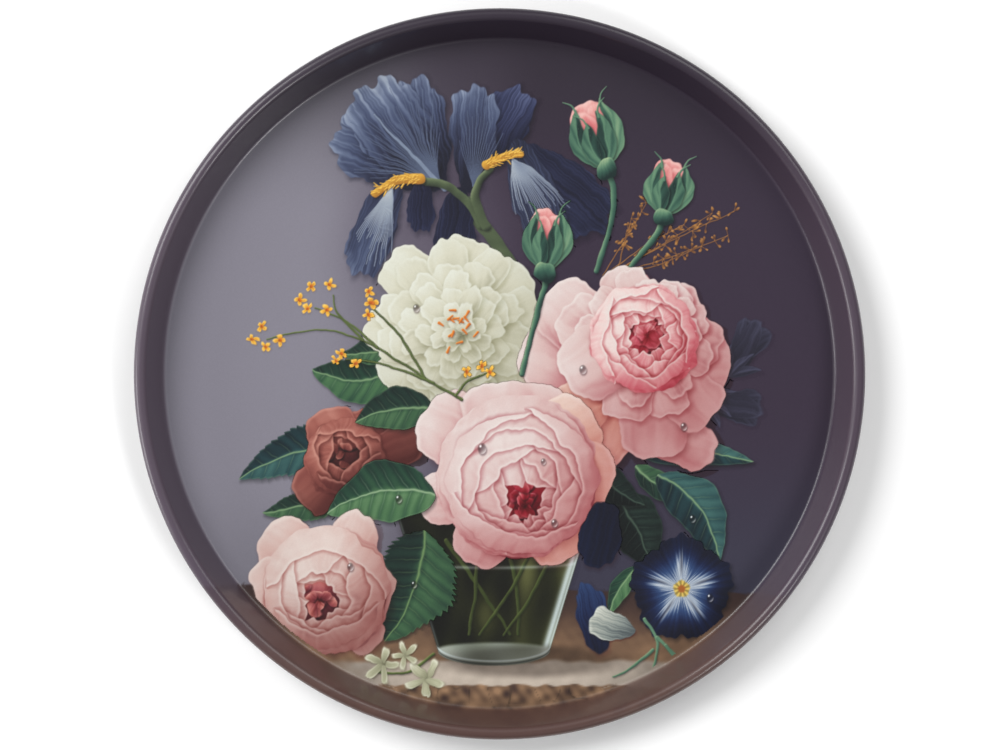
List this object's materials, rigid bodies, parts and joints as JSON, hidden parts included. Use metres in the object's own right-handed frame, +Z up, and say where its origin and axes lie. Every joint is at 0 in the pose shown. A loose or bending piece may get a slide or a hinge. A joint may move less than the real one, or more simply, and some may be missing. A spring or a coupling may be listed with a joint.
{
  "type": "serving tray",
  "caption": "Round steel serving tray with a flat floor, a shallow leaning wall, a wired curled rim and a lacquered flower picture over its upper face.",
  "frame": {"origin": "centre of the tray's underside, where it rests on the table", "axes": "+Z up along the turning axis, +Y towards the top of the picture, +X towards its right side"},
  "size_m": [0.33, 0.33, 0.021],
  "materials": {
    "pan_steel": "satin",
    "wire_steel": "satin",
    "dark_lacquer": "satin",
    "picture_paint": "satin",
    "varnish": "satin"
  },
  "bodies": {
    "root": {"tray_pan": "pan_steel", "rim_wire": "wire_steel", "back_lacquer": "dark_lacquer", "face_lacquer": "dark_lacquer", "painted_picture": "picture_paint", "clear_varnish": "varnish"}
  },
  "joints": []
}
